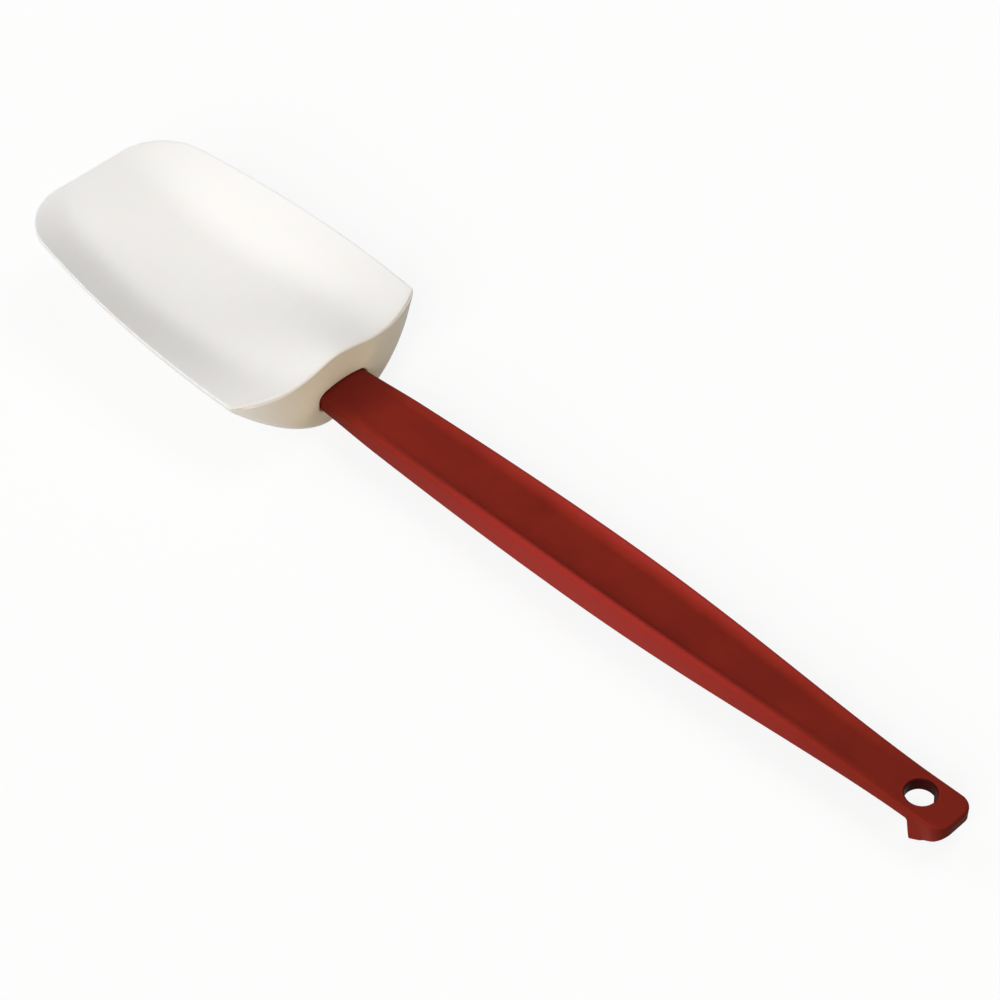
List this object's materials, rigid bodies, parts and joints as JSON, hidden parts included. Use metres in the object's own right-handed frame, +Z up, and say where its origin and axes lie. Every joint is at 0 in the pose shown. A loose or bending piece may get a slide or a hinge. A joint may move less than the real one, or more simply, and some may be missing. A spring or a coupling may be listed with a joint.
{
  "type": "spoon spatula",
  "caption": "Long-handled kitchen spatula with a flexible dished silicone head moulded round a flat tang, a railed grip and a hanging hole above a small hooked foot.",
  "frame": {"origin": "middle of the bounding box, on the table that the spatula lies on", "axes": "+X from the head's tip to the hanging end, +Y across the head, +Z up out of the dish"},
  "size_m": [0.343, 0.0734, 0.0282],
  "materials": {
    "red_nylon": "fine moulded satin, slightly glossier on the rails",
    "white_silicone": "smooth matte, slightly translucent at the rim"
  },
  "bodies": {
    "root": {"handle": "red_nylon", "spoon_head": "white_silicone"}
  },
  "joints": []
}
